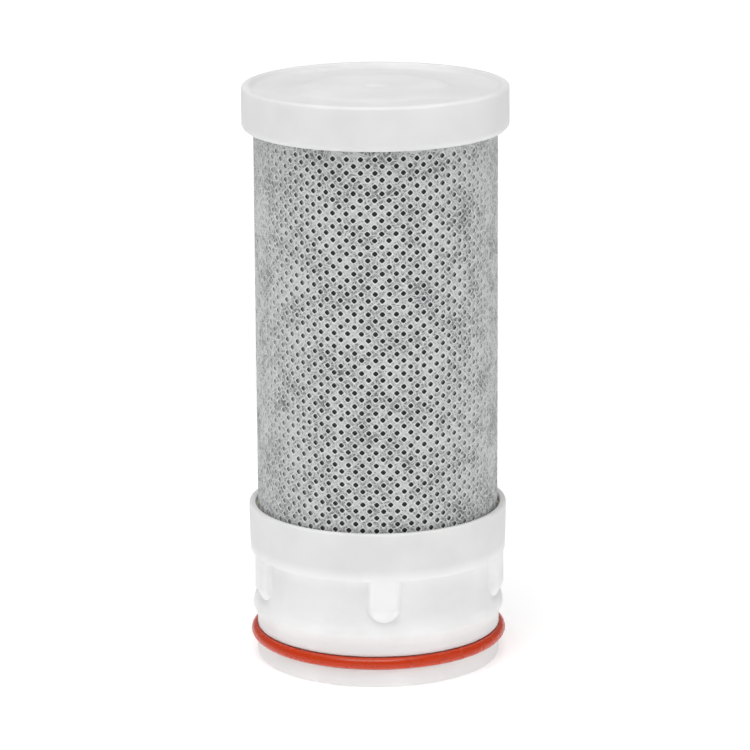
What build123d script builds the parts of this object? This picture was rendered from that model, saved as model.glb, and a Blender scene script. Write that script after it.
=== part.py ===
"""Radial-flow cartridge for a hand-pumped camping water filter.

Dirty water reaches the wrap from all round, passes the carbon block and the liner, and
leaves down the core tube through the outlet in the base. A red ring round the neck of the
base seals it in the pump's housing. Every piece is bonded or seated, and none of them moves.

Frame: millimetres, +Z up along the axis, origin on the axis at the foot of the base.
One of the outer ribs faces -Y, and the lap of the wrap faces +Y.
"""

import os

from build123d import *

# ---------------------------------------------------------------- driving dimensions
# Filter media
media_length = 66.9  # cut length of block, wrap, liner and core tube
block_r = 18.05  # outer radius of the carbon block
wrap_thickness = 0.25  # one layer of the nonwoven wrap
lap_width = 9.0  # where the wrap's two edges overlap and are welded
core_tube_r = 7.7  # outer radius of the core tube
core_tube_wall = 1.7
liner_thickness = 0.3

# Slots through the wall of the core tube
slot_end_room = 6.0  # least length of plain tube at each end
slot_row_pitch = 6.6
slot_length = 3.8  # round the tube, tip to tip
slot_height = 1.8
slot_axes = 3  # each axis cuts both walls, so a row has twice as many slots

# Neck and O-ring of the base
neck_step = 0.95  # how far the cup's foot stands out past the neck
neck_height = 6.6  # foot to the start of the flare
neck_wall = 1.6  # behind the O-ring groove
seal_section = 1.78  # cord diameter of the O-ring
seal_height = 3.9  # foot to the middle of the O-ring
groove_depth = 0.8
groove_side_room = 0.1  # beside the O-ring, on each side

# Flare, land and recess between the neck and the cup
land_step = 0.6  # how far the land stands out past the neck
flare_height = 1.4
land_height = 1.0
shoulder_height = 2.2
recess_depth = 1.2  # from the land in to the recess
recess_height = 5.7  # top of the shoulder to the ledge under the cup
rib_count = 5
rib_width = 4.2
rib_root_fillet = 0.9
rib_tip_fillet = 0.6
rib_foot_height = 1.7  # from the land's top to where the rib reaches full depth

# Cup that holds the lower end of the media
cup_wall = 0.85  # at the foot of the cup
cup_draft = 0.15  # how much wider the rim is than the foot
cup_height = 7.3  # ledge to rim
floor_thickness = 1.7
ledge_thickness = 1.0  # from the ledge up to the floor's top
lip_fillet = 0.4

# Outlet under the middle of the floor
outlet_boss_wall = 1.6
outlet_boss_drop = 5.5  # below the floor
spigot_wall = 1.3
spigot_height = 4.0  # above the floor, inside the core tube
web_thickness = 1.2
web_drop = 4.2  # below the floor

# End cap
cap_wall = 1.4
cap_plate = 1.6
cap_skirt = 4.3  # inside depth
cap_foot_fillet = 1.0
cap_top_fillet = 0.6
dish_depth = 0.8
dish_edge_fillet = 0.5
cap_lip = 1.1  # width of the raised ring round the dish
pad_r = 10.5  # raised disc in the middle of the dish
pad_height = 0.4
pad_slope = 1.2
gate_r = 1.9  # dimple that hides the moulding gate
gate_depth = 0.3
plug_height = 4.0  # centring plug under the plate, inside the core tube

# Fits and bonds
potting_gap = 0.3  # between the wrap and the cup's or the cap's wall
core_clearance = 0.1  # between the core tube and the spigot or the plug
base_bond = 0.4  # adhesive under the media
cap_bond = 0.8  # adhesive over the media
base_bead_drop = 1.1  # from the cup's rim down to the adhesive in the gap
cap_bead_height = 2.6  # adhesive in the gap inside the cap's skirt
foot_fillet = 0.5

# ---------------------------------------------------------------- worked-out sizes
wrap_r = block_r + wrap_thickness
lap_r = wrap_r + wrap_thickness
pocket_r = wrap_r + potting_gap
liner_r = core_tube_r + liner_thickness
core_r = core_tube_r - core_tube_wall
spigot_r = core_r - core_clearance
outlet_r = spigot_r - spigot_wall

cup_foot_r = pocket_r + cup_wall
cup_rim_r = cup_foot_r + cup_draft
cap_r = pocket_r + cap_wall
neck_r = cup_foot_r - neck_step
land_r = neck_r + land_step
recess_r = land_r - recess_depth
rib_depth = cup_foot_r - recess_r

land_z = neck_height + flare_height
shoulder_z = land_z + land_height
recess_z = shoulder_z + shoulder_height
ledge_z = recess_z + recess_height
rim_z = ledge_z + cup_height
floor_top_z = ledge_z + ledge_thickness
floor_z = floor_top_z - floor_thickness

seal_r = seal_section / 2
groove_r = neck_r - groove_depth
groove_half = seal_r + groove_side_room
skirt_bore_r = groove_r - neck_wall
boss_r = outlet_r + outlet_boss_wall

media_z = floor_top_z + base_bond
media_top_z = media_z + media_length
plate_z = media_top_z + cap_bond
cap_foot_z = plate_z - cap_skirt
dish_z = plate_z + cap_plate
cap_top_z = dish_z + dish_depth


def tube(outer_r, inner_r, low, high, mode=Mode.ADD):
    """Straight ring about the axis between two heights."""
    with BuildSketch(Plane.XY.offset(low)) as section:
        Circle(outer_r)
        Circle(inner_r, mode=Mode.SUBTRACT)
    extrude(section.sketch, amount=high - low, mode=mode)


def axis_distance(edge):
    """How far an upright edge stands from the axis."""
    return Vector(edge.center().X, edge.center().Y).length


def lap(low, high, mode=Mode.ADD):
    """Second layer of the wrap over its welded lap, on the +Y side."""
    with BuildSketch(Plane.XY.offset(low)) as section:
        with Locations((0, wrap_r)):
            Rectangle(lap_width, 2 * (lap_r - wrap_r) + lap_width)
        Circle(lap_r, mode=Mode.INTERSECT)
        Circle(wrap_r, mode=Mode.SUBTRACT)
    extrude(section.sketch, amount=high - low, mode=mode)


# ---------------------------------------------------------------- filter media
with BuildPart() as carbon_block:
    tube(block_r, liner_r, media_z, media_top_z)

with BuildPart() as outer_wrap:
    tube(wrap_r, block_r, media_z, media_top_z)
    lap(media_z, media_top_z)

with BuildPart() as inner_liner:
    tube(liner_r, core_tube_r, media_z, media_top_z)

# Slots are cut right through along several axes, and each row is turned half a step.
with BuildPart() as core_tube:
    tube(core_tube_r, core_r, media_z, media_top_z)
    slot_step = 180 / slot_axes
    slot_row_count = int((media_length - 2 * slot_end_room) / slot_row_pitch) + 1
    slot_middle_z = (media_z + media_top_z) / 2
    for row in range(slot_row_count):
        row_z = slot_middle_z + (row - (slot_row_count - 1) / 2) * slot_row_pitch
        for axis_number in range(slot_axes):
            turn = slot_step * (axis_number + 0.5 * (row % 2))
            with BuildSketch(Plane.XZ.rotated((0, 0, turn))):
                with Locations((0, row_z)):
                    SlotOverall(slot_length, slot_height)
            extrude(amount=2 * core_tube_r, both=True, mode=Mode.SUBTRACT)

# ---------------------------------------------------------------- base collar
# Ribs: a star-shaped section with filleted corners, trimmed by the envelope of the ribs.
with BuildPart() as rib_ring:
    with BuildSketch(Plane.XY.offset(land_z)):
        with PolarLocations(0, rib_count, start_angle=-90):
            Rectangle(cup_foot_r, rib_width, align=(Align.MIN, Align.CENTER))
        Circle(cup_foot_r, mode=Mode.INTERSECT)
        Circle(recess_r)
        Circle(skirt_bore_r, mode=Mode.SUBTRACT)
    extrude(amount=ledge_z - land_z)
    upright = rib_ring.edges().filter_by(Axis.Z)
    roots = upright.filter_by(lambda e: abs(axis_distance(e) - recess_r) < rib_depth / 2)
    fillet(roots, min(rib_root_fillet, 0.6 * rib_depth))
    upright = rib_ring.edges().filter_by(Axis.Z)
    tips = upright.filter_by(lambda e: abs(axis_distance(e) - cup_foot_r) < 0.001)
    fillet(tips, min(rib_tip_fillet, 0.39 * rib_depth))
    with BuildSketch(Plane.XZ):
        with BuildLine():
            Polyline(
                (0, land_z),
                (land_r, land_z),
                (land_r, shoulder_z),
                (cup_foot_r, shoulder_z + rib_foot_height),
                (cup_foot_r, ledge_z),
                (0, ledge_z),
                close=True,
            )
        make_face()
    revolve(axis=Axis.Z, mode=Mode.INTERSECT)

with BuildPart() as base_collar:
    with BuildSketch(Plane.XZ):
        with BuildLine():
            Polyline(
                (skirt_bore_r, 0),
                (neck_r, 0),
                (neck_r, seal_height - groove_half),
                (groove_r, seal_height - groove_half),
                (groove_r, seal_height + groove_half),
                (neck_r, seal_height + groove_half),
                (neck_r, neck_height),
                (land_r, land_z),
                (land_r, shoulder_z),
                (recess_r, recess_z),
                (recess_r, ledge_z),
                (cup_foot_r, ledge_z),
                (cup_rim_r, rim_z),
                (pocket_r, rim_z),
                (pocket_r, floor_top_z),
                (spigot_r, floor_top_z),
                (spigot_r, floor_top_z + spigot_height),
                (outlet_r, floor_top_z + spigot_height),
                (outlet_r, floor_z - outlet_boss_drop),
                (boss_r, floor_z - outlet_boss_drop),
                (boss_r, floor_z),
                (skirt_bore_r, floor_z),
                close=True,
            )
        make_face()
    revolve(axis=Axis.Z)
    foot_edges = base_collar.edges().group_by(Axis.Z)[0]
    fillet(foot_edges, foot_fillet)
    lip_edges = base_collar.edges().group_by(Axis.Z)[-1]
    fillet(lip_edges, lip_fillet)
    add(rib_ring.part)
    # Webs that stiffen the floor, halfway between the ribs
    with BuildSketch(Plane.XY.offset(floor_z)):
        with PolarLocations(0, rib_count, start_angle=90):
            with Locations(((boss_r + skirt_bore_r) / 2, 0)):
                Rectangle(skirt_bore_r - boss_r + neck_wall, web_thickness)
        Circle(outlet_r, mode=Mode.SUBTRACT)
    extrude(amount=-web_drop)

# ---------------------------------------------------------------- seal
with BuildPart() as o_ring:
    with BuildSketch(Plane.XZ):
        with Locations((groove_r + seal_r, seal_height)):
            Circle(seal_r)
    revolve(axis=Axis.Z)

# ---------------------------------------------------------------- end cap
with BuildPart() as end_cap:
    with BuildSketch(Plane.XZ):
        with BuildLine():
            Polyline(
                (pocket_r, cap_foot_z),
                (cap_r, cap_foot_z),
                (cap_r, cap_top_z),
                (cap_r - cap_lip, cap_top_z),
                (cap_r - cap_lip, dish_z),
                (pad_r + pad_slope, dish_z),
                (pad_r, dish_z + pad_height),
                (gate_r, dish_z + pad_height),
                (gate_r, dish_z + pad_height - gate_depth),
                (0, dish_z + pad_height - gate_depth),
                (0, plate_z - plug_height),
                (spigot_r, plate_z - plug_height),
                (spigot_r, plate_z),
                (pocket_r, plate_z),
                close=True,
            )
        make_face()
    revolve(axis=Axis.Z)
    foot_rings = end_cap.edges().filter_by(GeomType.CIRCLE).filter_by(
        lambda e: abs(e.center().Z - cap_foot_z) < 0.001
    )
    fillet(foot_rings.sort_by(SortBy.RADIUS)[-1], cap_foot_fillet)
    top_rings = end_cap.edges().filter_by(GeomType.CIRCLE).filter_by(
        lambda e: abs(e.center().Z - cap_top_z) < 0.001
    )
    fillet(top_rings.sort_by(SortBy.RADIUS)[-1], cap_top_fillet)
    dish_rings = end_cap.edges().filter_by(GeomType.CIRCLE).filter_by(
        lambda e: abs(e.center().Z - dish_z) < 0.001
    )
    fillet(dish_rings.sort_by(SortBy.RADIUS)[-1], dish_edge_fillet)

# ---------------------------------------------------------------- adhesive
with BuildPart() as base_adhesive:
    tube(pocket_r, spigot_r, floor_top_z, media_z)
    tube(pocket_r, wrap_r, media_z, rim_z - base_bead_drop)
    lap(media_z, rim_z - base_bead_drop, mode=Mode.SUBTRACT)

with BuildPart() as cap_adhesive:
    tube(pocket_r, spigot_r, media_top_z, plate_z)
    tube(pocket_r, wrap_r, plate_z - cap_bead_height, media_top_z)
    lap(plate_z - cap_bead_height, media_top_z, mode=Mode.SUBTRACT)

# ---------------------------------------------------------------- export
pieces = {
    "end_cap": end_cap,
    "cap_adhesive": cap_adhesive,
    "outer_wrap": outer_wrap,
    "carbon_block": carbon_block,
    "inner_liner": inner_liner,
    "core_tube": core_tube,
    "base_adhesive": base_adhesive,
    "base_collar": base_collar,
    "o_ring": o_ring,
}

os.makedirs("parts", exist_ok=True)
for name, piece in pieces.items():
    piece.part.label = name
    export_step(piece.part, f"parts/{name}.step")
    size = piece.part.bounding_box().size
    print(f"{name:14s} {size.X:7.2f} {size.Y:7.2f} {size.Z:7.2f}  {piece.part.volume:10.1f} mm3")
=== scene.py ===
"""Looks of a hand-pump filter cartridge: cap, nonwoven wrap, ribbed base and red neck seal.

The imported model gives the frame. Sizes below are in millimetres and follow the model's own
pieces; each mesh is made in millimetres about the axis and turned to metres as it is finished.
"""

import logging
import math
from collections.abc import Callable, Iterable, Mapping
from dataclasses import dataclass, field
from enum import Enum

import bmesh
import bpy
from mathutils import Matrix, Vector, noise


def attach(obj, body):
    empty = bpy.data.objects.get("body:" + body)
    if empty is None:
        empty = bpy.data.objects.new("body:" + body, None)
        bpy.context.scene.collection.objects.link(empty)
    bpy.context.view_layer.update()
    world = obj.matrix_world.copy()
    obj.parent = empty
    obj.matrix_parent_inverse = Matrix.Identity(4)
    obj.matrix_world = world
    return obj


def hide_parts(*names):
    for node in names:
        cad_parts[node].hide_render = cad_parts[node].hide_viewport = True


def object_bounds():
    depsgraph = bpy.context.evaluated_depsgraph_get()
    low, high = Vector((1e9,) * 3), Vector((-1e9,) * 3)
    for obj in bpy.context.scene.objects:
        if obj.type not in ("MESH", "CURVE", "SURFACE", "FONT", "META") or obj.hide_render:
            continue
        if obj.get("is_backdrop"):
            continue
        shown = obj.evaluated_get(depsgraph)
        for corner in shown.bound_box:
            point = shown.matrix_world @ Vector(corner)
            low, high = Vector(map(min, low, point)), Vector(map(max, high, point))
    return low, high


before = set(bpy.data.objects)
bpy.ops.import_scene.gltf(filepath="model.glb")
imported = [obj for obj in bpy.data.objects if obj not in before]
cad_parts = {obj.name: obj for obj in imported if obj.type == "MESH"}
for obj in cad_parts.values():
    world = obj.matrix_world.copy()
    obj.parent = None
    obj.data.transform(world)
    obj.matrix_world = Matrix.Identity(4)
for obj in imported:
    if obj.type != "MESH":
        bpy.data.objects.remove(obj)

log = logging.getLogger("cartridge")

MM = 0.001
FULL_TURN = 2 * math.pi
CAD_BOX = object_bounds()
WAVE_RADIUS = 18.0  # cylinder on which every unevenness is drawn, in millimetres
TOUCHING = 1e-4  # points closer than this count as one, and heights as equal


class Slot(Enum):
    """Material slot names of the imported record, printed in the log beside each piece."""

    PLASTIC = "white_plastic"
    WRAP = "wrap"
    ADHESIVE = "adhesive"
    SEAL = "seal"


# ------------------------------------------------------------------ nodes and colours
def linear(hex_colour: str) -> tuple[float, float, float, float]:
    """Turns an sRGB hex colour to linear light.

    Args:
        hex_colour: six hex digits after a hash sign.

    Returns:
        Red, green, blue and an alpha of one.
    """
    parts = [int(hex_colour[i : i + 2], 16) / 255 for i in (1, 3, 5)]
    curved = [p / 12.92 if p <= 0.04045 else ((p + 0.055) / 1.055) ** 2.4 for p in parts]
    return (curved[0], curved[1], curved[2], 1.0)


def add_node(
    tree: bpy.types.NodeTree, kind: str, sockets: Mapping | None = None, **settings: object
) -> bpy.types.Node:
    """Adds one node with its settings, values and links.

    Args:
        tree: the tree that gets the node.
        kind: the node's type name, without its ShaderNode prefix.
        sockets: input name or number to a value, or to the output socket linked there.
        settings: the node's own properties.

    Returns:
        The new node.
    """
    node = tree.nodes.new("ShaderNode" + kind)
    for name, value in settings.items():
        setattr(node, name, value)
    for key, value in (sockets or {}).items():
        if isinstance(value, bpy.types.NodeSocket):
            tree.links.new(value, node.inputs[key])
        else:
            node.inputs[key].default_value = value
    return node


def set_ramp(ramp: bpy.types.Node, stops: Iterable[tuple[float, object]]) -> None:
    """Gives a colour ramp its stops.

    Args:
        ramp: the Color Ramp node.
        stops: position and grey level or colour of each stop, in order.
    """
    elements = ramp.color_ramp.elements
    while len(elements) > 1:
        elements.remove(elements[-1])
    for number, (position, value) in enumerate(stops):
        colour = value if isinstance(value, tuple) else (value, value, value, 1.0)
        stop = elements[0] if number == 0 else elements.new(position)
        stop.position = position
        stop.color = colour


def add_noise(
    tree: bpy.types.NodeTree, place: object, size: float, detail: float, **more: float
) -> bpy.types.NodeSocket:
    """Adds a noise texture.

    Args:
        tree: the tree that gets the node.
        place: socket with coordinates in millimetres.
        size: of one blot, in millimetres.
        detail: number of finer layers.
        more: the node's other inputs, by name.

    Returns:
        The socket that carries the noise.
    """
    sockets = {"Vector": place, "Scale": 1 / size, "Detail": detail, **more}
    return add_node(tree, "TexNoise", sockets).outputs["Fac"]


def start_material(name: str) -> tuple[bpy.types.Material, bpy.types.NodeTree, bpy.types.Node]:
    """Makes an empty material with a Principled shader on its output.

    Args:
        name: the material's name.

    Returns:
        The material, its node tree and the shader.
    """
    material = bpy.data.materials.new(name)
    material.use_nodes = True
    tree = material.node_tree
    tree.nodes.clear()
    shader = add_node(tree, "BsdfPrincipled")
    add_node(tree, "OutputMaterial", {"Surface": shader.outputs["BSDF"]})
    return material, tree, shader


def object_mm(tree: bpy.types.NodeTree) -> bpy.types.NodeSocket:
    """Object coordinates in millimetres."""
    place = add_node(tree, "TexCoord").outputs["Object"]
    return add_node(
        tree, "VectorMath", {0: place, "Scale": 1 / MM}, operation="SCALE"
    ).outputs["Vector"]


# ------------------------------------------------------------------ finishes
@dataclass(frozen=True)
class MouldedPolypropylene:
    """Natural white polypropylene, injection moulded in a lightly spark-eroded tool.

    The eye gets a soft satin white with broad highlights, faint cloudy flow marks, and a
    slightly greyer band. Where a dark core lies close behind a thin wall, that is show-through;
    where the band lies over a rim or a dished top, it is painted shade that dims the highlights
    there.
    """

    name: str
    colour: str = "#E5E5E5"
    cloud_colour: str = "#DFDFDF"
    # greyer colour of the band: the dark core showing through a thin wall, and painted shade over
    # rims and dished tops
    show_through_and_painted_shade: str = "#F8F8F8"
    band_along: str = "Z"  # the band runs between two heights, or between two radii with "R"
    band_low: float = 0.0  # where the band starts: show-through of the dark media on a thin wall, painted shade on a dished top
    band_high: float = 0.0
    band_blur: float = 1.8
    band_fade: float = 0.3
    roughness: float = 0.55
    ior: float = 1.49
    cloud_size: float = 9.0
    grain_size: float = 0.35  # spark-eroded grain, drawn about three times its real size
    grain_depth: float = 0.05
    sink_size: float = 4.0  # shallow unevenness left by shrinkage
    sink_depth: float = 0.4
    scatter: float = 0.9
    scatter_weight: float = 0.35

    def make(self) -> bpy.types.Material:
        """Builds the material."""
        material, tree, shader = start_material(self.name)
        place = object_mm(tree)
        cloud = add_noise(tree, place, self.cloud_size, 3.0)
        clouding = add_node(tree, "ValToRGB", {"Fac": cloud})
        set_ramp(clouding, [(0.38, linear(self.cloud_colour)), (0.62, linear(self.colour))])
        colour = clouding.outputs["Color"]
        if self.band_high > self.band_low:
            # greys the colour in a band: show-through of a dark core, and painted shade where the
            # band covers a rim or a dished top
            reach = self.band_place(tree, place)
            rise = add_node(
                tree, "MapRange",
                {"Value": reach, "From Min": self.band_low - self.band_blur / 2,
                 "From Max": self.band_low + self.band_blur / 2},
                interpolation_type="SMOOTHSTEP",
            )
            fall = add_node(
                tree, "MapRange",
                {"Value": reach, "From Min": self.band_high,
                 "From Max": self.band_high + self.band_fade, "To Min": 1.0, "To Max": 0.0},
                interpolation_type="SMOOTHSTEP",
            )
            band = add_node(
                tree, "Math", {0: rise.outputs["Result"], 1: fall.outputs["Result"]},
                operation="MULTIPLY",
            )
            colour = add_node(
                tree, "Mix",
                {"Factor": band.outputs["Value"], "A": colour, "B": linear(self.show_through_and_painted_shade)},
                data_type="RGBA", blend_type="MULTIPLY",
            ).outputs["Result"]
        grain = add_noise(tree, place, self.grain_size, 2.0)
        sink = add_noise(tree, place, self.sink_size, 1.0)
        soft = add_node(
            tree, "Bump",
            {"Height": sink, "Strength": 0.12, "Distance": self.sink_depth * MM},
        )
        bump = add_node(
            tree, "Bump",
            {"Height": grain, "Strength": 0.16, "Distance": self.grain_depth * MM,
             "Normal": soft.outputs["Normal"]},
        )
        gloss = add_node(
            tree, "MapRange",
            {"Value": cloud, "To Min": self.roughness - 0.05,
             "To Max": self.roughness + 0.07},
        )
        tree.links.new(colour, shader.inputs["Base Color"])
        tree.links.new(gloss.outputs["Result"], shader.inputs["Roughness"])
        tree.links.new(bump.outputs["Normal"], shader.inputs["Normal"])
        shader.inputs["IOR"].default_value = self.ior
        shader.inputs["Subsurface Weight"].default_value = self.scatter_weight
        shader.inputs["Subsurface Radius"].default_value = (1.0, 1.0, 1.0)
        shader.inputs["Subsurface Scale"].default_value = self.scatter * MM
        return material

    def band_place(
        self, tree: bpy.types.NodeTree, place: bpy.types.NodeSocket
    ) -> bpy.types.NodeSocket:
        """Finds how high up, or how far from the axis, a point is.

        Args:
            tree: the material's node tree.
            place: object coordinates in millimetres.

        Returns:
            The height or the radius.
        """
        if self.band_along == "Z":
            return add_node(tree, "SeparateXYZ", {0: place}).outputs["Z"]
        flat = add_node(
            tree, "VectorMath", {0: place, 1: (1.0, 1.0, 0.0)}, operation="MULTIPLY"
        )
        return add_node(
            tree, "VectorMath", {0: flat.outputs["Vector"]}, operation="LENGTH"
        ).outputs["Value"]


@dataclass(frozen=True)
class PointBondedNonwoven:
    """White spunbond polypropylene over black media, bonded by a heated engraved roll.

    The eye gets a matt fibrous grey, cloudy where the fibres lie thicker or thinner over the
    black, with a small dark point at each bond, where the fibres are melted to a clear film.
    """

    name: str = "point_bonded_nonwoven"
    thick_colour: str = "#CBCCCC"
    thin_colour: str = "#66686A"
    film_colour: str = "#0B0B0C"
    # pale ring round each bond: a painted highlight where the edge of the pit catches the light
    rim_highlight_colour: str = "#F4F4F4"
    fibre_width: float = 0.28  # bundles, because single fibres are far too fine to show
    fibre_length: float = 2.6
    fibre_height: float = 0.09
    fibre_share: float = 0.46  # how much single fibres count beside the cloudy web
    laid_at: tuple[int, ...] = (9, 37, 71, 104, 133, 162)  # degrees of each layer of fibres
    cloud_size: float = 5.5
    nap_sheen_cover: float = 0.92  # how far the painted sheen of loose fibres hides the bonds at a slant
    roughness: float = 0.78
    film_roughness: float = 0.42
    fuzz: float = 0.4  # sheen of the loose fibres, none on the film

    def make(self) -> bpy.types.Material:
        """Builds the material."""
        material, tree, shader = start_material(self.name)
        flat = add_node(tree, "UVMap", uv_map="sheet_mm").outputs["UV"]
        strands = self.strands(tree, flat)
        cloud = add_noise(tree, flat, self.cloud_size, 4.0, Roughness=0.62)
        weight = add_node(
            tree, "Math",
            {0: strands, 1: self.fibre_share, 2: cloud},
            operation="MULTIPLY_ADD",
        )
        web = add_node(tree, "ValToRGB", {"Fac": weight.outputs["Value"]})
        set_ramp(web, [(0.5, linear(self.thin_colour)), (0.88, linear(self.thick_colour))])
        bond = add_node(tree, "Attribute", attribute_name="bond").outputs["Fac"]
        # colour mix by the slant of the surface: painted sheen of loose fibres that veils the bonds
        # and their rings towards the sides
        slant = add_node(tree, "LayerWeight", {"Blend": 0.5}).outputs["Facing"]
        painted_nap_sheen = add_node(
            tree, "MapRange",
            {"Value": slant, "From Min": 0.1, "From Max": 0.75, "To Min": 1.0,
             "To Max": 1 - self.nap_sheen_cover},
            interpolation_type="SMOOTHSTEP",
        ).outputs["Result"]
        # ring of painted highlight round each bond, where the edge of the pit catches the light
        rim = add_node(
            tree, "MapRange", {"Value": bond, "From Min": 0.07, "From Max": 0.27, "To Max": 0.85}
        )
        bare_rim_highlight = add_node(
            tree, "Math", {0: rim.outputs["Result"], 1: painted_nap_sheen}, operation="MULTIPLY"
        )
        with_rim_highlight = add_node(
            tree, "Mix",
            {"Factor": bare_rim_highlight.outputs["Value"], "A": web.outputs["Color"],
             "B": linear(self.rim_highlight_colour)},
            data_type="RGBA",
        )
        film = add_node(
            tree, "MapRange", {"Value": bond, "From Min": 0.38, "From Max": 0.8, "To Max": 0.99},
            interpolation_type="SMOOTHSTEP",
        )
        bare_film = add_node(
            tree, "Math", {0: film.outputs["Result"], 1: painted_nap_sheen}, operation="MULTIPLY"
        )
        colour = add_node(
            tree, "Mix",
            {"Factor": bare_film.outputs["Value"], "A": with_rim_highlight.outputs["Result"],
             "B": linear(self.film_colour)},
            data_type="RGBA",
        )
        bump = add_node(
            tree, "Bump",
            {"Height": strands, "Strength": 0.8, "Distance": self.fibre_height * MM},
        )
        gloss = add_node(
            tree, "MapRange",
            {"Value": film.outputs["Result"], "To Min": self.roughness,
             "To Max": self.film_roughness},
        )
        tree.links.new(colour.outputs["Result"], shader.inputs["Base Color"])
        tree.links.new(gloss.outputs["Result"], shader.inputs["Roughness"])
        tree.links.new(bump.outputs["Normal"], shader.inputs["Normal"])
        shader.inputs["Specular IOR Level"].default_value = 0.3
        fuzz = add_node(
            tree, "MapRange",
            {"Value": film.outputs["Result"], "To Min": self.fuzz, "To Max": 0.0},
        )
        tree.links.new(fuzz.outputs["Result"], shader.inputs["Sheen Weight"])
        shader.inputs["Sheen Roughness"].default_value = 0.5
        return material

    def strands(
        self, tree: bpy.types.NodeTree, flat: bpy.types.NodeSocket
    ) -> bpy.types.NodeSocket:
        """Lays fibre bundles over each other in several directions.

        Args:
            tree: the material's node tree.
            flat: coordinates on the flat sheet, in millimetres.

        Returns:
            How much fibre there is at each point, from about 0 to 1.
        """
        total: bpy.types.NodeSocket | None = None
        for turn in self.laid_at:
            laid = add_node(
                tree, "Mapping",
                {"Vector": flat, "Rotation": (0, 0, math.radians(turn)),
                 "Location": (turn * 1.7, turn * 0.9, 0),
                 "Scale": (self.fibre_length, self.fibre_width, 1)},
                vector_type="TEXTURE",
            )
            lines = add_node(
                tree, "TexNoise",
                {"Vector": laid.outputs["Vector"], "Scale": 1.0, "Detail": 1.0,
                 "Distortion": 0.35},
                noise_dimensions="2D",
            )
            fibre = add_node(
                tree, "MapRange", {"Value": lines.outputs["Fac"], "From Min": 0.5, "From Max": 0.74}
            ).outputs["Result"]
            total = fibre if total is None else add_node(
                tree, "Math", {0: total, 1: fibre}, operation="MAXIMUM"
            ).outputs["Value"]
        return total


@dataclass(frozen=True)
class SiliconeRubber:
    """Red-orange silicone, moulded as a ring and lightly greased.

    The eye gets a saturated, slightly waxy red with one long soft highlight and fine dust.
    """

    name: str = "silicone_rubber"
    colour: str = "#C63505"
    dull_colour: str = "#BF370A"
    patch_size: float = 1 / 0.45
    speck_size: float = 0.2  # dust
    roughness: float = 0.22

    def make(self) -> bpy.types.Material:
        """Builds the material."""
        material, tree, shader = start_material(self.name)
        place = object_mm(tree)
        patch = add_noise(tree, place, self.patch_size, 4.0)
        tint = add_node(tree, "ValToRGB", {"Fac": patch})
        set_ramp(tint, [(0.4, linear(self.colour)), (0.75, linear(self.dull_colour))])
        gloss = add_node(
            tree, "MapRange",
            {"Value": patch, "To Min": self.roughness - 0.08,
             "To Max": self.roughness + 0.16},
        )
        speck = add_noise(tree, place, self.speck_size, 3.0)
        bump = add_node(
            tree, "Bump", {"Height": speck, "Strength": 0.15, "Distance": 0.04 * MM}
        )
        tree.links.new(tint.outputs["Color"], shader.inputs["Base Color"])
        tree.links.new(gloss.outputs["Result"], shader.inputs["Roughness"])
        tree.links.new(bump.outputs["Normal"], shader.inputs["Normal"])
        shader.inputs["IOR"].default_value = 1.41
        shader.inputs["Subsurface Weight"].default_value = 0.08
        shader.inputs["Subsurface Radius"].default_value = (1.0, 0.25, 0.1)
        shader.inputs["Subsurface Scale"].default_value = 0.5 * MM
        return material


@dataclass(frozen=True)
class HotMelt:
    """Beige hot-melt adhesive, cooled from a bead.

    The eye gets a glossy, waxy cream with cloudy streaks and small pits.
    """

    name: str = "hot_melt"
    colour: str = "#DAD3BF"
    streak_colour: str = "#C9BFA3"
    streak_size: float = 2.0

    def make(self) -> bpy.types.Material:
        """Builds the material."""
        material, tree, shader = start_material(self.name)
        place = object_mm(tree)
        streak = add_noise(tree, place, self.streak_size, 4.0, Distortion=0.8)
        tint = add_node(tree, "ValToRGB", {"Fac": streak})
        set_ramp(tint, [(0.35, linear(self.streak_colour)), (0.65, linear(self.colour))])
        pit = add_node(tree, "TexVoronoi", {"Vector": place, "Scale": 0.9})
        bump = add_node(
            tree, "Bump", {"Height": pit.outputs["Distance"], "Strength": 0.3, "Distance": 0.1 * MM}
        )
        tree.links.new(tint.outputs["Color"], shader.inputs["Base Color"])
        tree.links.new(bump.outputs["Normal"], shader.inputs["Normal"])
        shader.inputs["Roughness"].default_value = 0.32
        shader.inputs["IOR"].default_value = 1.48
        shader.inputs["Subsurface Weight"].default_value = 0.4
        shader.inputs["Subsurface Radius"].default_value = (1.0, 0.85, 0.6)
        shader.inputs["Subsurface Scale"].default_value = 0.8 * MM
        return material


@dataclass(frozen=True)
class SinteredCarbon:
    """Activated carbon grains sintered to a block.

    The eye gets a dead matt black with a sparkle of broken grain.
    """

    name: str = "sintered_carbon"
    grain: float = 0.45

    def make(self) -> bpy.types.Material:
        """Builds the material."""
        material, tree, shader = start_material(self.name)
        place = object_mm(tree)
        grains = add_node(tree, "TexVoronoi", {"Vector": place, "Scale": 1 / self.grain})
        # grains lighter at their middles: a painted glint standing for the sparkle of broken grain
        tint = add_node(tree, "ValToRGB", {"Fac": grains.outputs["Distance"]})
        set_ramp(tint, [(0.1, linear("#2A2A2B")), (0.7, linear("#101011"))])
        bump = add_node(
            tree, "Bump",
            {"Height": grains.outputs["Distance"], "Strength": 0.8, "Distance": 0.15 * MM},
        )
        tree.links.new(tint.outputs["Color"], shader.inputs["Base Color"])
        tree.links.new(bump.outputs["Normal"], shader.inputs["Normal"])
        shader.inputs["Roughness"].default_value = 0.85
        return material


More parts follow.
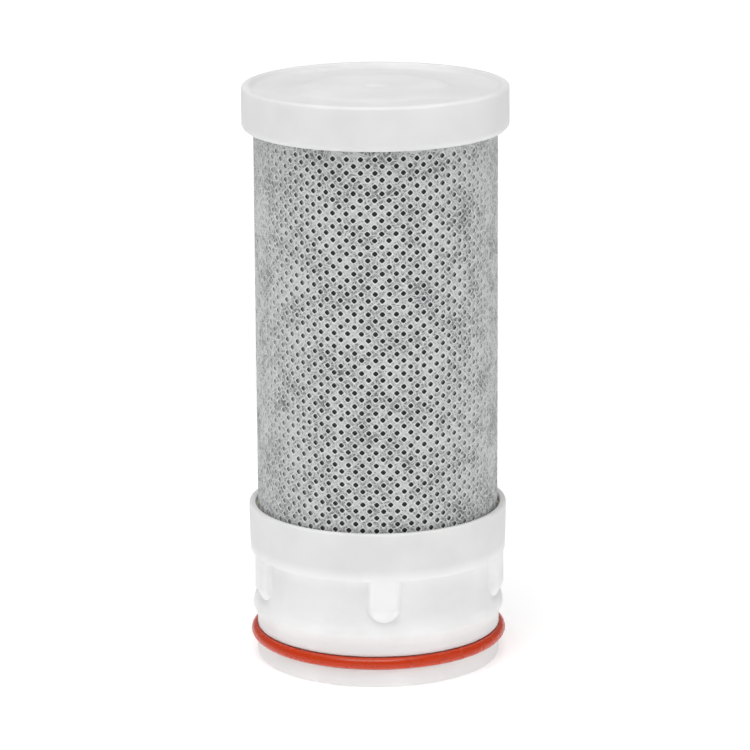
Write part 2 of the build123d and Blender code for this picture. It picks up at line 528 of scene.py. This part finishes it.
@dataclass(frozen=True)
class FineNonwoven:
    """Thin white nonwoven sleeve that keeps carbon fines out of the core.

    The eye gets a matt white paper-like surface of crossed fibres.
    """

    name: str = "fine_nonwoven"
    colour: str = "#E9E9E6"
    gap_colour: str = "#BDBDBA"
    fibre_size: float = 1 / 3

    def make(self) -> bpy.types.Material:
        """Builds the material."""
        material, tree, shader = start_material(self.name)
        place = object_mm(tree)
        fibres = add_noise(tree, place, self.fibre_size, 5.0, Distortion=1.5)
        tint = add_node(tree, "ValToRGB", {"Fac": fibres})
        set_ramp(tint, [(0.4, linear(self.gap_colour)), (0.6, linear(self.colour))])
        bump = add_node(
            tree, "Bump", {"Height": fibres, "Strength": 0.5, "Distance": 0.08 * MM}
        )
        tree.links.new(tint.outputs["Color"], shader.inputs["Base Color"])
        tree.links.new(bump.outputs["Normal"], shader.inputs["Normal"])
        shader.inputs["Roughness"].default_value = 0.85
        shader.inputs["Sheen Weight"].default_value = 0.3
        return material


@dataclass(frozen=True)
class PaleBackdrop:
    """Matt white sheet under the part, lit a little from behind and very slightly uneven."""

    name: str = "pale_backdrop"
    colour: str = "#F4F4F4"
    deep_colour: str = "#F1F1F1"
    cloud_size: float = 300.0
    reach: float = 600.0  # from the part to the evenly lit ground
    # share of that reach, and how strongly the sheet glows there
    glow_stops: tuple[tuple[float, float], ...] = ((0.1, 0.35), (0.3, 0.29), (1.0, 0.72))

    def make(self) -> bpy.types.Material:
        """Builds the material."""
        material, tree, shader = start_material(self.name)
        place = object_mm(tree)
        cloud = add_noise(tree, place, self.cloud_size, 2.0)
        tint = add_node(tree, "ValToRGB", {"Fac": cloud})
        set_ramp(tint, [(0.4, linear(self.deep_colour)), (0.6, linear(self.colour))])
        tree.links.new(tint.outputs["Color"], shader.inputs["Base Color"])
        shader.inputs["Roughness"].default_value = 0.9
        shader.inputs["Specular IOR Level"].default_value = 0.1
        shader.inputs["Emission Color"].default_value = linear("#FFFFFF")
        away = add_node(tree, "VectorMath", {0: place}, operation="LENGTH")
        share = add_node(
            tree, "MapRange", {"Value": away.outputs["Value"], "From Max": self.reach}
        )
        glow = add_node(tree, "ValToRGB", {"Fac": share.outputs["Result"]})
        set_ramp(glow, self.glow_stops)
        tree.links.new(glow.outputs["Color"], shader.inputs["Emission Strength"])
        return material


# ------------------------------------------------------------------ shared modelling
@dataclass(frozen=True)
class Corner:
    """One corner of a half section, with the radius that rounds it."""

    r: float
    z: float
    fillet: float = 0.0


def draw_section(bm: bmesh.types.BMesh, corners: list[Corner], arc_steps: int = 6) -> None:
    """Draws the outline of a half section in the XZ plane, ready to be spun.

    Args:
        bm: the mesh that gets the outline's edges.
        corners: the section's corners in order round it.
        arc_steps: edges along each rounded corner.
    """
    verts = [bm.verts.new((c.r, 0, c.z)) for c in corners]
    bm.faces.new(verts)
    count = len(corners)
    reach = []
    for number, corner in enumerate(corners):
        before = verts[number - 1].co - verts[number].co
        after = verts[(number + 1) % count].co - verts[number].co
        half_turn = (math.pi - before.angle(after)) / 2
        reach.append(corner.fillet * math.tan(half_turn))
    for vert, offset in zip(verts, reach):
        if offset > 0:
            bmesh.ops.bevel(
                bm, geom=[vert], offset=offset, offset_type="OFFSET", segments=arc_steps,
                profile=0.5, affect="VERTICES", clamp_overlap=True, material=-1,
            )
    bmesh.ops.delete(bm, geom=bm.faces[:], context="FACES_ONLY")
    on_axis = [e for e in bm.edges if max(v.co.x for v in e.verts) < 1e-6]
    bmesh.ops.delete(bm, geom=on_axis, context="EDGES")


def spin_section(bm: bmesh.types.BMesh, steps: int, sectors: int = 10) -> None:
    """Spins all of a section's edges about Z into a closed surface.

    Args:
        bm: the mesh that holds the outline.
        steps: steps in the full turn, a multiple of sectors.
        sectors: equal slices; one is spun and the others are turned copies of it.
    """
    slice_turn = FULL_TURN / sectors
    bmesh.ops.spin(
        bm, geom=bm.verts[:] + bm.edges[:], cent=(0, 0, 0), axis=(0, 0, 1), angle=slice_turn,
        steps=steps // sectors,
    )
    first = bm.verts[:] + bm.edges[:] + bm.faces[:]
    for number in range(1, sectors):
        copied = bmesh.ops.duplicate(bm, geom=first)["geom"]
        bmesh.ops.rotate(
            bm, verts=[g for g in copied if isinstance(g, bmesh.types.BMVert)],
            matrix=Matrix.Rotation(number * slice_turn, 3, "Z"),
        )
    bmesh.ops.remove_doubles(bm, verts=bm.verts[:], dist=TOUCHING)
    bmesh.ops.recalc_face_normals(bm, faces=bm.faces[:])


def finish_mesh(
    bm: bmesh.types.BMesh, name: str, material: bpy.types.Material, sharp_angle: float = 40.0
) -> bpy.types.Object:
    """Turns a mesh in millimetres into a smooth-shaded object in metres.

    Args:
        bm: the mesh, which is freed.
        name: the piece's name.
        material: its finish.
        sharp_angle: edges that turn by more degrees than this stay sharp.

    Returns:
        The object, at the origin.
    """
    bmesh.ops.scale(bm, vec=(MM, MM, MM), verts=bm.verts[:])
    mesh = bpy.data.meshes.new(name)
    bm.to_mesh(mesh)
    bm.free()
    mesh.shade_smooth()
    mesh.set_sharp_from_angle(angle=math.radians(sharp_angle))
    mesh.materials.append(material)
    piece = bpy.data.objects.new(name, mesh)
    bpy.context.scene.collection.objects.link(piece)
    return piece


def register(piece: bpy.types.Object, slot: Slot, *nodes: str) -> None:
    """Ties a finished piece to the frame and reports it.

    Args:
        piece: the finished object.
        slot: the slot that its finish belongs to.
        nodes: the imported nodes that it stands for.
    """
    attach(piece, "root")
    if nodes:
        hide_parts(*nodes)
    mesh = piece.data
    mesh.calc_loop_triangles()
    log.info("%s: %d triangles, slot %s", piece.name, len(mesh.loop_triangles), slot.value)


def smooth_step(low: float, high: float, value: float) -> float:
    """Rises smoothly from 0 at low to 1 at high."""
    share = min(max((value - low) / (high - low), 0.0), 1.0)
    return share * share * (3 - 2 * share)


def wave(angle: float, height: float, grain: float, seed: float) -> float:
    """Smooth unevenness on a cylinder, the same in every run.

    Args:
        angle: turn about the axis, in radians.
        height: millimetres up the axis.
        grain: size of the unevenness, in millimetres.
        seed: any number, for a different pattern.

    Returns:
        A value from about -1 to 1.
    """
    place = Vector((WAVE_RADIUS * math.cos(angle), WAVE_RADIUS * math.sin(angle), height)) / grain
    return noise.noise(place + Vector((seed, 1.7 * seed, 0.3 * seed)))


# ------------------------------------------------------------------ sub-assemblies
@dataclass
class Media:
    """Sizes of the filter media that the moulded ends hold."""

    block_r: float = 18.05
    wrap_thickness: float = 0.25
    low: float = 18.3
    high: float = 85.2
    lap_width: float = 9.0

    @property
    def wrap_r(self) -> float:
        """Outer radius of one layer of the wrap."""
        return self.block_r + self.wrap_thickness

    @property
    def length(self) -> float:
        """Cut length of block and wrap."""
        return self.high - self.low


@dataclass
class NonwovenWrap:
    """The point-bonded sheet, cut flat, embossed, and rolled round the block with a lap."""

    media: Media
    pitch_round: float = 2.08  # from one bond to the next round the block
    pitch_up: float = 2.0
    row_start: float = 0.65  # where the knife happened to cut between the rows
    bond_reach: float = 0.33  # from a cell's edge in to the rim of its bond
    bond_corner: float = 0.17
    pillow_depth: float = 0.04  # how far the fabric rises between the bonds
    film_inset: float = 0.1
    film_depth: float = 0.06
    hidden_end: float = 4.0  # length inside cup and cap that is left unembossed
    ramp: float = 1.4  # where the outer edge climbs over the inner one
    drift: float = 0.10  # how far the web wandered under the engraved roll
    looseness: float = 0.03  # how unevenly the sheet lies on the block
    rim_highlight_value: float = 0.3  # of the attribute that tells the finish where the bonds are; this value marks the ring of painted highlight
    film_value: float = 1.0

    @property
    def mean_r(self) -> float:
        """Radius of the middle of the sheet's thickness."""
        return self.media.block_r + self.media.wrap_thickness / 2

    @property
    def girth(self) -> float:
        """Once round the block."""
        return FULL_TURN * self.mean_r

    @property
    def cut_width(self) -> float:
        """Width that the sheet was cut to."""
        return self.girth + self.media.lap_width

    def cut_sheet(self) -> bmesh.types.BMesh:
        """Cuts a flat slab of diamond cells, with its face up at z = thickness.

        Returns:
            The slab, centred on the origin.
        """
        half = Vector((self.cut_width / 2, self.media.length / 2))
        cells = math.ceil(half.x / (self.pitch_round / 2) + half.y / (self.pitch_up / 2)) + 1
        bm = bmesh.new()
        bmesh.ops.create_grid(
            bm, x_segments=cells, y_segments=cells, size=cells / math.sqrt(2)
        )
        bmesh.ops.rotate(bm, verts=bm.verts[:], matrix=Matrix.Rotation(math.radians(45), 3, "Z"))
        bmesh.ops.scale(
            bm, verts=bm.verts[:], vec=(self.pitch_round / 2, self.pitch_up / 2, 1)
        )
        bmesh.ops.translate(bm, verts=bm.verts[:], vec=(0, self.row_start, 0))
        for side in (-1, 1):
            for normal, reach in ((Vector((side, 0, 0)), half.x), (Vector((0, side, 0)), half.y)):
                bmesh.ops.bisect_plane(
                    bm, geom=bm.verts[:] + bm.edges[:] + bm.faces[:], dist=TOUCHING,
                    plane_co=normal * reach, plane_no=normal, clear_outer=True,
                )
        bmesh.ops.solidify(bm, geom=bm.faces[:], thickness=self.media.wrap_thickness)
        lowest = min(v.co.z for v in bm.verts)
        bmesh.ops.translate(bm, verts=bm.verts[:], vec=(0, 0, -lowest))
        bmesh.ops.recalc_face_normals(bm, faces=bm.faces[:])
        return bm

    def emboss(self, bm: bmesh.types.BMesh) -> None:
        """Presses the bond points into the whole cells of the upper face.

        Args:
            bm: the flat slab.
        """
        bond = bm.verts.layers.float.new("bond")
        whole = self.pitch_round * self.pitch_up / 2 * 0.98
        shown = self.media.length / 2 - self.hidden_end
        cells = [
            f for f in bm.faces
            if f.normal.z > 0.9 and f.calc_area() > whole and abs(f.calc_center_median().y) < shown
        ]
        bmesh.ops.inset_individual(
            bm, faces=cells, thickness=self.bond_reach, depth=-self.pillow_depth,
            use_even_offset=True,
        )
        corners = list({v for f in cells for v in f.verts})
        bmesh.ops.bevel(
            bm, geom=corners, offset=self.bond_corner, offset_type="OFFSET", segments=1,
            profile=0.5, affect="VERTICES", material=-1,
        )
        rim_level = self.media.wrap_thickness - self.pillow_depth
        films = [
            f for f in bm.faces
            if len(f.verts) == 8 and f.normal.z > 0.9
            and all(abs(v.co.z - rim_level) < TOUCHING for v in f.verts)
        ]
        # the rims of these cells get the ring of painted highlight
        for face in films:
            for vert in face.verts:
                vert[bond] = self.rim_highlight_value
        bmesh.ops.inset_individual(
            bm, faces=films, thickness=self.film_inset, depth=-self.film_depth,
            use_even_offset=True,
        )
        for face in films:
            for vert in face.verts:
                vert[bond] = self.film_value
        log.info("wrap: %d cells, %d bonds", len(cells), len(films))

    def roll(self, bm: bmesh.types.BMesh) -> None:
        """Maps the flat sheet to its place on the block, with the lap facing +Y.

        Args:
            bm: the embossed slab.
        """
        sheet = bm.loops.layers.uv.new("sheet_mm")
        for face in bm.faces:
            for loop in face.loops:
                loop[sheet].uv = loop.vert.co.xy
        start = math.pi / 2 - self.media.lap_width / 2 / self.mean_r
        for vert in bm.verts:
            x, y, depth = vert.co
            along = x + self.cut_width / 2
            climb = smooth_step(self.girth - self.ramp, self.girth, along)
            edge = min(along, self.cut_width - along, self.ramp) / self.ramp
            angle = start + along / self.mean_r
            inward = wave(angle, y, 14.0, 3.0) * self.looseness
            drift = self.drift * edge
            angle += drift * wave(angle, y, 9.0, 11.0) / self.mean_r
            end_room = smooth_step(0, 4, self.media.length / 2 - abs(y))
            height = y + drift * end_room * wave(angle, y, 9.0, 17.0)
            radius = self.media.block_r + depth + climb * self.media.wrap_thickness
            radius += inward * end_room - self.looseness * end_room
            vert.co = (
                radius * math.cos(angle),
                radius * math.sin(angle),
                height + (self.media.low + self.media.high) / 2,
            )

    def build(self) -> bpy.types.Object:
        """Makes and registers the wrap."""
        bm = self.cut_sheet()
        self.emboss(bm)
        self.roll(bm)
        piece = finish_mesh(bm, "wrap_sheet", PointBondedNonwoven().make(), sharp_angle=75)
        register(piece, Slot.WRAP, "outer_wrap")
        return piece


@dataclass
class EndCap:
    """Moulded cap: skirt, dished top with a raised ring, centre pad and gate dimple."""

    radius: float = 20.0
    foot: float = 81.7
    top: float = 88.4
    dish: float = 87.6
    plate: float = 86.0
    pocket_r: float = 18.6
    lip: float = 1.1
    lip_slope: float = 0.7
    pad_r: float = 10.5
    pad_rise: float = 0.4
    pad_slope: float = 1.6
    gate_r: float = 1.9
    gate_depth: float = 0.3
    gate_slope: float = 0.8
    plug_r: float = 5.9
    plug_drop: float = 4.0
    foot_fillet: float = 1.1
    top_fillet: float = 0.55
    lip_fillet: float = 0.5
    dish_fillet: float = 1.2
    pad_fillet: float = 4.0
    gate_fillet: float = 0.8
    steps: int = 300

    def build(self) -> bpy.types.Object:
        """Makes and registers the cap."""
        pad = self.dish + self.pad_rise
        corners = [
            Corner(self.pocket_r, self.foot, 0.15),
            Corner(self.radius, self.foot, self.foot_fillet),
            Corner(self.radius, self.top, self.top_fillet),
            Corner(self.radius - self.lip, self.top, self.lip_fillet),
            Corner(self.radius - self.lip - self.lip_slope, self.dish, self.dish_fillet),
            Corner(self.pad_r + self.pad_slope, self.dish, self.pad_fillet),
            Corner(self.pad_r, pad, self.pad_fillet),
            Corner(self.gate_r, pad, self.gate_fillet),
            Corner(self.gate_r - self.gate_slope, pad - self.gate_depth, self.gate_fillet),
            Corner(0, pad - self.gate_depth),
            Corner(0, self.plate - self.plug_drop),
            Corner(self.plug_r, self.plate - self.plug_drop, 0.3),
            Corner(self.plug_r, self.plate, 0.2),
            Corner(self.pocket_r, self.plate, 0.2),
        ]
        bm = bmesh.new()
        draw_section(bm, corners, arc_steps=7)
        spin_section(bm, self.steps)
        # On the cap the band is painted shade: it greys the dish between the pad and the lip and
        # dims the lip's highlight.
        finish = MouldedPolypropylene(
            "cap_polypropylene", cloud_size=11.0, show_through_and_painted_shade="#FCFCFC", band_along="R",
            band_low=self.pad_r, band_high=self.radius - 0.5, band_fade=0.5,
        )
        piece = finish_mesh(bm, "cap_moulding", finish.make())
        register(piece, Slot.PLASTIC, "end_cap")
        return piece


@dataclass
class BaseCollar:
    """Moulded base: neck with seal groove, ribbed recess, cup, floor, outlet and webs."""

    media: Media
    neck_r: float = 18.5
    groove_r: float = 17.7
    groove_low: float = 2.91
    groove_high: float = 4.89
    neck_top: float = 6.6
    land_r: float = 19.1
    land_low: float = 8.0
    land_high: float = 9.0
    recess_r: float = 17.9
    recess_low: float = 11.2
    ledge: float = 16.9
    cup_foot_r: float = 19.45
    cup_rim_r: float = 19.6
    rim: float = 24.2
    pocket_r: float = 18.6
    floor_top: float = 17.9
    floor_low: float = 16.2
    skirt_bore_r: float = 16.1
    outlet_r: float = 4.6
    boss_r: float = 6.2
    boss_low: float = 10.7
    spigot_r: float = 5.9
    spigot_top: float = 21.9
    rib_count: int = 5
    rib_half: float = 2.45
    rib_tip: float = 1.05
    rib_root: float = 0.5
    rib_foot: float = 10.3  # the rib's rounded end, where it runs out on the shoulder
    rib_bend: float = 12.45  # where the rib starts to lean in and to narrow
    rib_lean: float = 0.7  # how far it leans in by its end
    web_thickness: float = 1.2
    web_low: float = 12.0
    parting_ridge: float = 0.035
    steps: int = 640

    def corners(self) -> list[Corner]:
        """Half section, from the foot of the bore round the outside and back."""
        return [
            Corner(self.skirt_bore_r, 0, 0.45),
            Corner(self.neck_r, 0, 0.5),
            Corner(self.neck_r, self.groove_low, 0.12),
            Corner(self.groove_r, self.groove_low, 0.15),
            Corner(self.groove_r, self.groove_high, 0.15),
            Corner(self.neck_r, self.groove_high, 0.12),
            Corner(self.neck_r, self.neck_top, 1.5),
            Corner(self.land_r, self.land_low, 1.0),
            Corner(self.land_r, self.land_high, 3.0),
            Corner(self.recess_r, self.recess_low, 5.0),
            Corner(self.recess_r, self.ledge, 0.3),
            Corner(self.cup_foot_r, self.ledge, 0.1),
            Corner(self.cup_rim_r, self.rim, 0.28),
            Corner(self.pocket_r, self.rim, 0.25),
            Corner(self.pocket_r, self.floor_top, 0.2),
            Corner(self.spigot_r, self.floor_top, 0.2),
            Corner(self.spigot_r, self.spigot_top, 0.35),
            Corner(self.outlet_r, self.spigot_top, 0.3),
            Corner(self.outlet_r, self.boss_low, 0.3),
            Corner(self.boss_r, self.boss_low, 0.3),
            Corner(self.boss_r, self.floor_low, 0.5),
            Corner(self.skirt_bore_r, self.floor_low, 0.8),
        ]

    def rib_share(self, off_centre: float) -> float:
        """How much of the rib's depth stands at a distance from the rib's middle.

        Args:
            off_centre: millimetres round the collar.

        Returns:
            1 on the rib, 0 in the recess, rounded between them like its two fillets.
        """
        depth = self.cup_foot_r - self.recess_r
        edge = self.rib_half
        if off_centre <= edge - self.rib_tip:
            return 1.0
        if off_centre >= edge + self.rib_root:
            return 0.0
        if off_centre < edge:
            inner = off_centre - (edge - self.rib_tip)
            drop = self.rib_tip - math.sqrt(self.rib_tip**2 - inner**2)
            return 1 - drop / depth
        outer = edge + self.rib_root - off_centre
        rise = self.rib_root - math.sqrt(self.rib_root**2 - outer**2)
        return rise / depth

    def refine_shoulder(self, bm: bmesh.types.BMesh) -> None:
        """Adds points to the half section where the ribs' rounded ends lie.

        Args:
            bm: the half section, before it is spun.
        """
        edges = [
            e for e in bm.edges
            if min(v.co.x for v in e.verts) > self.recess_r - 0.1
            and self.rib_foot - 0.3 < min(v.co.z for v in e.verts)
            and max(v.co.z for v in e.verts) < self.rib_bend + 0.3
        ]
        bmesh.ops.subdivide_edges(bm, edges=edges, cuts=2)

    def raise_ribs(self, bm: bmesh.types.BMesh) -> None:
        """Moves the recess's outer wall out to the ribs' faces.

        Args:
            bm: the spun collar.
        """
        pitch = FULL_TURN / self.rib_count
        for vert in bm.verts:
            radius = vert.co.xy.length
            low, high = self.rib_foot, self.ledge + 0.3
            if radius < self.recess_r - 0.1 or not low < vert.co.z < high:
                continue
            angle = math.atan2(vert.co.y, vert.co.x) + math.pi / 2
            off_angle = abs((angle + pitch / 2) % pitch - pitch / 2)
            drop = (self.rib_bend - vert.co.z) / (self.rib_bend - self.rib_foot)
            drop = min(max(drop, 0), 1)
            taper = self.rib_half * (1 - math.sqrt(1 - drop**2))
            share = self.rib_share(off_angle * self.cup_foot_r + taper)
            lean = self.rib_lean * smooth_step(0, 1, drop)
            grown = radius + share * max(self.cup_foot_r - lean - radius, 0)
            vert.co.xy *= grown / radius
        bmesh.ops.remove_doubles(bm, verts=bm.verts[:], dist=TOUCHING)
        bmesh.ops.dissolve_degenerate(bm, dist=1e-5, edges=bm.edges[:])

    def add_parting_line(self, bm: bmesh.types.BMesh) -> None:
        """Leaves the fine line where the two halves of the tool met, at +X and -X.

        Args:
            bm: the spun collar.
        """
        for vert in bm.verts:
            outside = vert.co.xy.length > self.recess_r - 0.1
            if outside and abs(vert.co.y) < 1e-3 and 0.6 < vert.co.z < self.rim - 0.5:
                vert.co.x += math.copysign(self.parting_ridge, vert.co.x)

    def build_webs(self, material: bpy.types.Material) -> bpy.types.Object:
        """Makes the stiffening webs under the floor, halfway between the ribs.

        Args:
            material: the collar's finish.

        Returns:
            The webs as one piece.
        """
        bm = bmesh.new()
        sink = 0.3
        length = self.skirt_bore_r - self.boss_r + 2 * sink
        height = self.floor_low - self.web_low + sink
        middle = Vector(((self.skirt_bore_r + self.boss_r) / 2, 0, self.web_low + height / 2))
        for number in range(self.rib_count):
            made = bmesh.ops.create_cube(bm, size=1.0)["verts"]
            bmesh.ops.scale(bm, verts=made, vec=(length, self.web_thickness, height))
            bmesh.ops.translate(bm, verts=made, vec=middle)
            turn = math.pi / 2 + number * FULL_TURN / self.rib_count
            bmesh.ops.rotate(bm, verts=made, matrix=Matrix.Rotation(turn, 3, "Z"))
        low_edges = [
            e for e in bm.edges if all(abs(v.co.z - self.web_low) < TOUCHING for v in e.verts)
        ]
        bmesh.ops.bevel(
            bm, geom=low_edges, offset=0.25, offset_type="OFFSET", segments=3, profile=0.5,
            affect="EDGES", material=-1,
        )
        piece = finish_mesh(bm, "floor_webs", material)
        register(piece, Slot.PLASTIC)
        return piece

    def build(self) -> bpy.types.Object:
        """Makes and registers the collar and its webs."""
        bm = bmesh.new()
        draw_section(bm, self.corners(), arc_steps=5)
        self.refine_shoulder(bm)
        spin_section(bm, self.steps)
        self.raise_ribs(bm)
        self.add_parting_line(bm)
        # The band greys the cup where the dark media shows through its thin wall, and runs on over
        # the rim as painted shade that dims the rim's highlight.
        finish = MouldedPolypropylene(
            "base_polypropylene", colour="#F4F4F4", cloud_colour="#EEEEEE", show_through_and_painted_shade="#F2F2F2",
            band_low=self.media.low - 0.4, band_high=self.rim + 0.1,
        ).make()
        piece = finish_mesh(bm, "base_moulding", finish)
        register(piece, Slot.PLASTIC, "base_collar")
        self.build_webs(finish)
        return piece


@dataclass
class NeckSeal:
    """The O-ring in the groove of the neck, with the faint flash line of its mould."""

    centre_r: float = 18.59
    height: float = 3.9
    section_r: float = 0.89
    flash: float = 0.02
    section_steps: int = 40
    steps: int = 320

    def build(self) -> bpy.types.Object:
        """Makes and registers the ring."""
        bm = bmesh.new()
        bmesh.ops.create_circle(bm, segments=self.section_steps, radius=self.section_r)
        bmesh.ops.rotate(bm, verts=bm.verts[:], matrix=Matrix.Rotation(math.pi / 2, 3, "X"))
        for vert in bm.verts:
            if abs(vert.co.z) < TOUCHING and vert.co.x > 0:
                vert.co.x += self.flash
        bmesh.ops.translate(bm, verts=bm.verts[:], vec=(self.centre_r, 0, self.height))
        spin_section(bm, self.steps)
        piece = finish_mesh(bm, "neck_seal", SiliconeRubber().make(), sharp_angle=60)
        register(piece, Slot.SEAL, "o_ring")
        return piece


@dataclass
class Potting:
    """Hot-melt that bonds one end of the media and rises unevenly in the gap round it."""

    name: str
    node: str
    inner_r: float  # round the spigot or the plug
    wrap_r: float
    pocket_r: float
    seat: float  # height of the floor or the plate
    media_end: float
    bead_end: float
    swell: float  # how unevenly the bead ends
    sink_in: float = 0.02  # into the wrap, so that no gap shows between them
    steps: int = 240

    def build(self, material: bpy.types.Material) -> bpy.types.Object:
        """Makes and registers the adhesive.

        Args:
            material: the hot-melt finish.
        """
        bm = bmesh.new()
        wall = self.wrap_r - self.sink_in
        corners = [
            Corner(self.inner_r, self.seat),
            Corner(self.pocket_r, self.seat),
            Corner(self.pocket_r, self.bead_end, 0.05),
            Corner(wall, self.bead_end, 0.1),
            Corner(wall, self.media_end),
            Corner(self.inner_r, self.media_end),
        ]
        draw_section(bm, corners, arc_steps=3)
        spin_section(bm, self.steps)
        for vert in bm.verts:
            reach = abs(vert.co.z - self.media_end) / abs(self.bead_end - self.media_end)
            beyond = (vert.co.z - self.media_end) * (self.bead_end - self.media_end) > 0
            if beyond and reach > 0.5:
                angle = math.atan2(vert.co.y, vert.co.x)
                vert.co.z += self.swell * wave(angle, 0, 7.0, 5.0)
        piece = finish_mesh(bm, self.name, material)
        register(piece, Slot.ADHESIVE, self.node)
        return piece


@dataclass
class HiddenPieces:
    """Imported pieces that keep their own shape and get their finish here."""

    finishes: Mapping[str, Callable[[], bpy.types.Material]] = field(
        default_factory=lambda: {
            "carbon_block": SinteredCarbon().make,
            "inner_liner": FineNonwoven().make,
            "core_tube": MouldedPolypropylene("core_polypropylene", colour="#ECEDEA").make,
        }
    )

    def dress(self) -> None:
        """Assigns each finish to its node's slots."""
        for node, make in self.finishes.items():
            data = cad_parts[node].data
            data.materials.clear()
            data.materials.append(make())
            log.info("%s dressed", node)


@dataclass
class Studio:
    """Floor, lights and camera."""

    distance: float = 595.3
    elevation: float = 14.22
    azimuth: float = -2.7
    aim: tuple[float, float, float] = (-0.3, 0.0, 43.67)
    focal_length: float = 188.6
    roll: float = -0.35
    horizon_glow: float = 1.0  # bright wall behind the floor's far edge
    room_glow: float = 0.28  # the room above it
    lamps_face: float = 45.0  # height that the soft lights are aimed at
    floor_size: float = 4000.0

    def build_floor(self) -> None:
        """Lays the pale floor."""
        bm = bmesh.new()
        bmesh.ops.create_grid(bm, x_segments=2, y_segments=2, size=self.floor_size)
        floor = finish_mesh(bm, "studio_floor", PaleBackdrop().make())
        floor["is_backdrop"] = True

    def add_softbox(
        self, name: str, place: tuple[float, float, float], size: float, power: float
    ) -> None:
        """Adds one square soft light aimed at the part's middle.

        Args:
            name: the light's name.
            place: where it hangs, in millimetres.
            size: its side, in millimetres.
            power: its power in watts.
        """
        light = bpy.data.lights.new(name, "AREA")
        light.shape = "SQUARE"
        light.size = size * MM
        light.energy = power
        lamp = bpy.data.objects.new(name, light)
        lamp.location = Vector(place) * MM
        towards = Vector((0, 0, self.lamps_face)) * MM - lamp.location
        lamp.rotation_euler = towards.to_track_quat("-Z", "Y").to_euler()
        bpy.context.scene.collection.objects.link(lamp)

    def build_lights(self) -> None:
        """Hangs the soft lights and sets the glow of the room, brightest at the horizon."""
        self.add_softbox("key_softbox", (-280, -600, 600), 420, 0.12)
        self.add_softbox("fill_softbox", (560, -300, 300), 420, 0.25)
        self.add_softbox("top_softbox", (-60, -170, 740), 520, 4.25)
        world = bpy.data.worlds.new("studio_glow")
        world.use_nodes = True
        tree = world.node_tree
        glow = tree.nodes["Background"]
        glow.inputs["Color"].default_value = linear("#FFFFFF")
        way = add_node(tree, "TexCoord")
        rise = add_node(tree, "SeparateXYZ", {0: way.outputs["Generated"]})
        fade = add_node(
            tree, "MapRange",
            {"Value": rise.outputs["Z"], "From Min": 0.06, "From Max": 0.16,
             "To Min": self.horizon_glow, "To Max": self.room_glow},
        )
        tree.links.new(fade.outputs["Result"], glow.inputs["Strength"])
        bpy.context.scene.world = world

    def build_camera(self) -> None:
        """Sets the camera."""
        data = bpy.data.cameras.new("studio_camera")
        data.sensor_width = 36.0
        data.lens = self.focal_length
        data.clip_start, data.clip_end = 0.01, 20.0
        camera = bpy.data.objects.new("studio_camera", data)
        azimuth, elevation = math.radians(self.azimuth), math.radians(self.elevation)
        back = Vector((
            math.sin(azimuth) * math.cos(elevation),
            -math.cos(azimuth) * math.cos(elevation),
            math.sin(elevation),
        ))
        camera.location = (Vector(self.aim) + back * self.distance) * MM
        turn = (-back).to_track_quat("-Z", "Y").to_matrix().to_4x4()
        turn = turn @ Matrix.Rotation(math.radians(self.roll), 4, "Z")
        camera.rotation_euler = turn.to_euler()
        bpy.context.scene.collection.objects.link(camera)
        bpy.context.scene.camera = camera

    def build(self) -> None:
        """Builds the whole studio."""
        self.build_floor()
        self.build_lights()
        self.build_camera()
        bpy.context.scene.view_settings.view_transform = "Standard"


def write_sizes() -> None:
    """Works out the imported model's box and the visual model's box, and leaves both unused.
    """
    boxes = {"cad": CAD_BOX, "visual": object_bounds()}
    {name: [list(corner) for corner in box] for name, box in boxes.items()}


def main() -> None:
    """Builds every piece in order."""
    logging.basicConfig(level=logging.INFO, format="%(name)s: %(message)s")
    Studio().build()
    media = Media()
    cap = EndCap()
    cap.build()
    NonwovenWrap(media).build()
    collar = BaseCollar(media)
    collar.build()
    NeckSeal().build()
    hot_melt = HotMelt().make()
    Potting(
        "base_potting", "base_adhesive", collar.spigot_r, media.wrap_r, collar.pocket_r,
        seat=collar.floor_top, media_end=media.low, bead_end=23.3, swell=0.5,
    ).build(hot_melt)
    Potting(
        "cap_potting", "cap_adhesive", cap.plug_r, media.wrap_r, cap.pocket_r,
        seat=cap.plate, media_end=media.high, bead_end=83.4, swell=0.3,
    ).build(hot_melt)
    HiddenPieces().dress()
    write_sizes()


if __name__ == "__main__":
    main()
